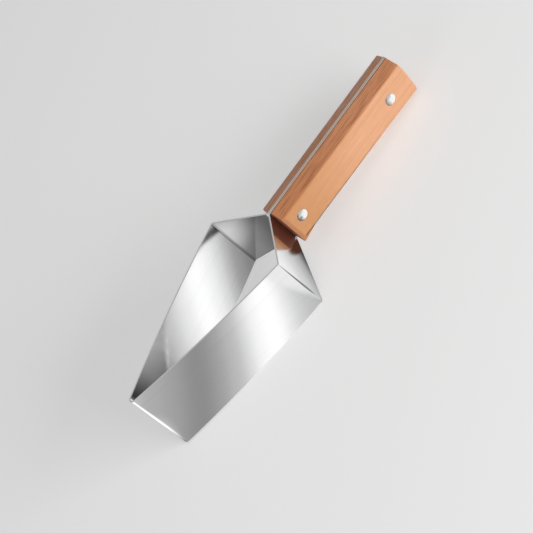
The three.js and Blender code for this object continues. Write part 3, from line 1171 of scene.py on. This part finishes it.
def shoulder_bands(tree, folded, low):
    """Lays the bands beside the shoulders over the others."""
    off_foot = vector_maths(tree, "SUBTRACT", folded, SHOULDER_FOOT)
    clear = vector_maths(tree, "DOT_PRODUCT", off_foot, SHOULDER_NORMAL)
    normal_x, normal_y, _ = SHOULDER_NORMAL
    slanted = (normal_x + SHOULDER_SLANT * normal_y, normal_y - SHOULDER_SLANT * normal_x, 0.0)
    slant = vector_maths(tree, "DOT_PRODUCT", off_foot, slanted)
    shifted = maths(tree, "ADD", slant, 5 * MM)
    beside = shades(tree, shifted, SHOULDER_BANDS)
    beyond = spread(tree, clear, -2 * MM, 1 * MM)
    return mix(tree, beyond, low, beside)


def card_material():
    """A bounce card with soft grey and white bands, seen only as a reflection in the steel; a brown
    patch on it is a painted reflection of the handle's end.
    """
    material, tree = new_material("Banded Card")
    tree.nodes.remove(tree.nodes["Principled BSDF"])
    where = coordinates(tree, "Object")
    tone = loop_bands(tree, where)
    from_tip = vector_maths(tree, "DISTANCE", where, TIP_GLINT)
    glint = spread(tree, from_tip, 46 * MM, 20 * MM)
    tone = mix(tree, glint, tone, WHITE)
    flipped = vector_maths(tree, "MULTIPLY", where, (1.0, -1.0, 1.0))
    folded = vector_maths(tree, "MINIMUM", where, flipped)
    tone = shoulder_bands(tree, folded, tone)
    off_fold = vector_maths(tree, "SUBTRACT", folded, FOLD_PATCH)
    oval = vector_maths(tree, "MULTIPLY", off_fold, FOLD_SHAPE)
    reach = vector_maths(tree, "LENGTH", oval)
    crease = spread(tree, reach, 30 * MM, 16 * MM)
    tone = mix(tree, crease, tone, FOLD_GREY)
    # Painted reflection of the handle's front end: a dark brown patch under it
    from_end = vector_maths(tree, "DISTANCE", where, HANDLE_PATCH)
    under_end = spread(tree, from_end, 8 * MM, 5 * MM)
    tone = mix(tree, under_end, tone, HANDLE_END_REFLECTION)
    glow = add(tree, "ShaderNodeEmission")
    glow.inputs["Strength"].default_value = settings().stage.card_glow
    give(tree, glow.inputs["Color"], tone)
    give(tree, tree.nodes["Material Output"].inputs["Surface"], glow.outputs[0])
    return material


def only_in_metal(thing):
    """Shows a thing only as a reflection: it neither stands in view nor lights or shades."""
    for ray in ("camera", "diffuse", "transmission", "volume_scatter", "shadow"):
        setattr(thing, f"visible_{ray}", False)


def surround_world(stage):
    """Even surroundings, brighter where polished metal mirrors them."""
    world = bpy.data.worlds.new("Surround")
    world.use_nodes = True
    tree = world.node_tree
    sky = tree.nodes["Background"]
    sky.inputs["Color"].default_value = (*WHITE, 1.0)
    in_metal = add(tree, "ShaderNodeLightPath").outputs["Is Glossy Ray"]
    level = spread(tree, in_metal, 0.0, 1.0, stage.sky, stage.sky_in_metal, smooth=False)
    give(tree, sky.inputs["Strength"], level)
    return world


def soft_light(name, place, target, width, height, power):
    """A large soft light aimed at a point, which leaves no hard glint in metal."""
    light = bpy.data.lights.new(name, "AREA")
    light.shape = "RECTANGLE"
    light.size = width
    light.size_y = height
    light.energy = power
    lamp = bpy.data.objects.new(name, light)
    bpy.context.scene.collection.objects.link(lamp)
    lamp.location = place
    aim = Vector(target) - lamp.location
    lamp.rotation_euler = aim.to_track_quat("-Z", "Y").to_euler()
    lamp.visible_glossy = False


def camera_matrix(stage):
    """The camera's place and turn."""
    flat = math.cos(stage.elevation)
    toward = Vector((
        math.sin(stage.azimuth) * flat,
        -math.cos(stage.azimuth) * flat,
        math.sin(stage.elevation),
    ))
    level = (-toward).cross(Vector(UP)).normalized()
    rise = level.cross(-toward)
    right = level * math.cos(stage.roll) - rise * math.sin(stage.roll)
    upright = right.cross(-toward)
    target = Vector((stage.target_x, stage.target_y, stage.target_z))
    turn = Matrix((right, upright, toward)).transposed().to_4x4()
    return Matrix.Translation(target + toward * stage.distance) @ turn


# ---- Operators ---------------------------------------------------------------------------------

class LOOPBLADE_OT_stage(bpy.types.Operator):
    """Sets up the pale floor, the soft lights and the camera"""

    bl_idname = "loop_blade.stage"
    bl_label = "Set Stage"

    def execute(self, context):
        stage = settings().stage
        scene = context.scene
        clear_selection()
        bpy.ops.mesh.primitive_plane_add(size=stage.floor_size, location=MIDDLE)
        floor = context.object
        floor.name = "floor"
        floor.data.materials.append(floor_material())
        bpy.ops.mesh.primitive_plane_add(size=CARD_SIZE, location=MIDDLE)
        card = context.object
        card.name = "bounce_card"
        card.location.z = CARD_LIFT
        card.data.materials.append(card_material())
        only_in_metal(card)
        for name, place, target, width, height, power in LIGHTS:
            soft_light(name, place, target, width, height, getattr(stage, power))
        scene.world = surround_world(stage)
        scene.view_settings.view_transform = "Standard"
        lens = bpy.data.cameras.new("camera")
        lens.sensor_width = 36.0
        lens.lens = stage.lens
        lens.clip_start = 0.01
        lens.clip_end = 50.0
        lens.dof.use_dof = False
        camera = bpy.data.objects.new("camera", lens)
        scene.collection.objects.link(camera)
        camera.matrix_world = camera_matrix(stage)
        scene.camera = camera
        return {"FINISHED"}


class LOOPBLADE_OT_blade(bpy.types.Operator):
    """Folds the steel strip into the loop blade and its tang"""

    bl_idname = "loop_blade.blade"
    bl_label = "Fold Blade"

    def execute(self, context):
        piece = model_blade(settings())
        hand_over(piece, "loop_blade_strip", "blade_band", polished_steel())
        return {"FINISHED"}


class LOOPBLADE_OT_scales(bpy.types.Operator):
    """Shapes the two wooden scales of the handle"""

    bl_idname = "loop_blade.scales"
    bl_label = "Shape Scales"

    def execute(self, context):
        tool = settings()
        wood = oiled_beech()
        left = model_scale(tool)
        right = mirrored_copy(left)
        for piece, side, name, node in (
            (left, 1, "beech_scale_left", "handle_scale_left"),
            (right, -1, "beech_scale_right", "handle_scale_right"),
        ):
            seat_scale(piece, tool, side)
            lay_down(piece)
            soften(piece, 35)
            hand_over(piece, name, node, wood)
        return {"FINISHED"}


class LOOPBLADE_OT_rivets(bpy.types.Operator):
    """Turns the rivets and drives them through the handle"""

    bl_idname = "loop_blade.rivets"
    bl_label = "Drive Rivets"

    def execute(self, context):
        rivets = settings().rivets
        metal = rivet_steel()
        halves = (("socket", model_socket(rivets), -1), ("post", model_post(rivets), 1))
        for half, pattern, side in halves:
            for end, (x, z) in zip(("front", "butt"), rivet_places(rivets)):
                piece = place_rivet(pattern, rivets, x, z, side)
                name = f"{end}_rivet_{half}"
                hand_over(piece, name, f"rivet_{half}_{end}", metal)
            bpy.data.meshes.remove(pattern.data)
        return {"FINISHED"}


class LOOPBLADE_PT_panel(bpy.types.Panel):
    """Buttons and sizes of the loop-blade hand tool"""

    bl_idname = "LOOPBLADE_PT_panel"
    bl_label = "Loop-Blade Hand Tool"
    bl_space_type = "VIEW_3D"
    bl_region_type = "UI"
    bl_category = "Loop Blade"

    def draw(self, context):
        layout = self.layout
        for operator in MAKERS:
            layout.operator(operator.bl_idname)
        tool = settings()
        for group in (tool.blade, tool.handle, tool.rivets, tool.rest, tool.finishes_and_painted_light, tool.stage):
            box = layout.box()
            for key in group.__annotations__:
                box.prop(group, key)


class ToolSettings(bpy.types.PropertyGroup):
    """Everything a user may change."""

    blade: bpy.props.PointerProperty(type=BladeSizes)
    handle: bpy.props.PointerProperty(type=HandleSizes)
    rivets: bpy.props.PointerProperty(type=RivetSizes)
    rest: bpy.props.PointerProperty(type=RestPose)
    finishes_and_painted_light: bpy.props.PointerProperty(type=FinishesAndPaintedLight)
    stage: bpy.props.PointerProperty(type=StageSettings)


GROUPS = (BladeSizes, HandleSizes, RivetSizes, RestPose, FinishesAndPaintedLight, StageSettings, ToolSettings)
MAKERS = (LOOPBLADE_OT_stage, LOOPBLADE_OT_blade, LOOPBLADE_OT_scales, LOOPBLADE_OT_rivets)


def register():
    """Adds the tool's classes and settings."""
    for item in (*GROUPS, *MAKERS, LOOPBLADE_PT_panel):
        bpy.utils.register_class(item)
    bpy.types.Scene.loop_blade = bpy.props.PointerProperty(type=ToolSettings)


def unregister():
    """Takes the tool's classes and settings away."""
    del bpy.types.Scene.loop_blade
    for item in reversed((*GROUPS, *MAKERS, LOOPBLADE_PT_panel)):
        bpy.utils.unregister_class(item)


def main():
    """Makes the stage and every piece."""
    register()
    bpy.ops.loop_blade.stage()
    bpy.ops.loop_blade.blade()
    bpy.ops.loop_blade.scales()
    bpy.ops.loop_blade.rivets()
    clear_selection()


if __name__ == "__main__":
    main()
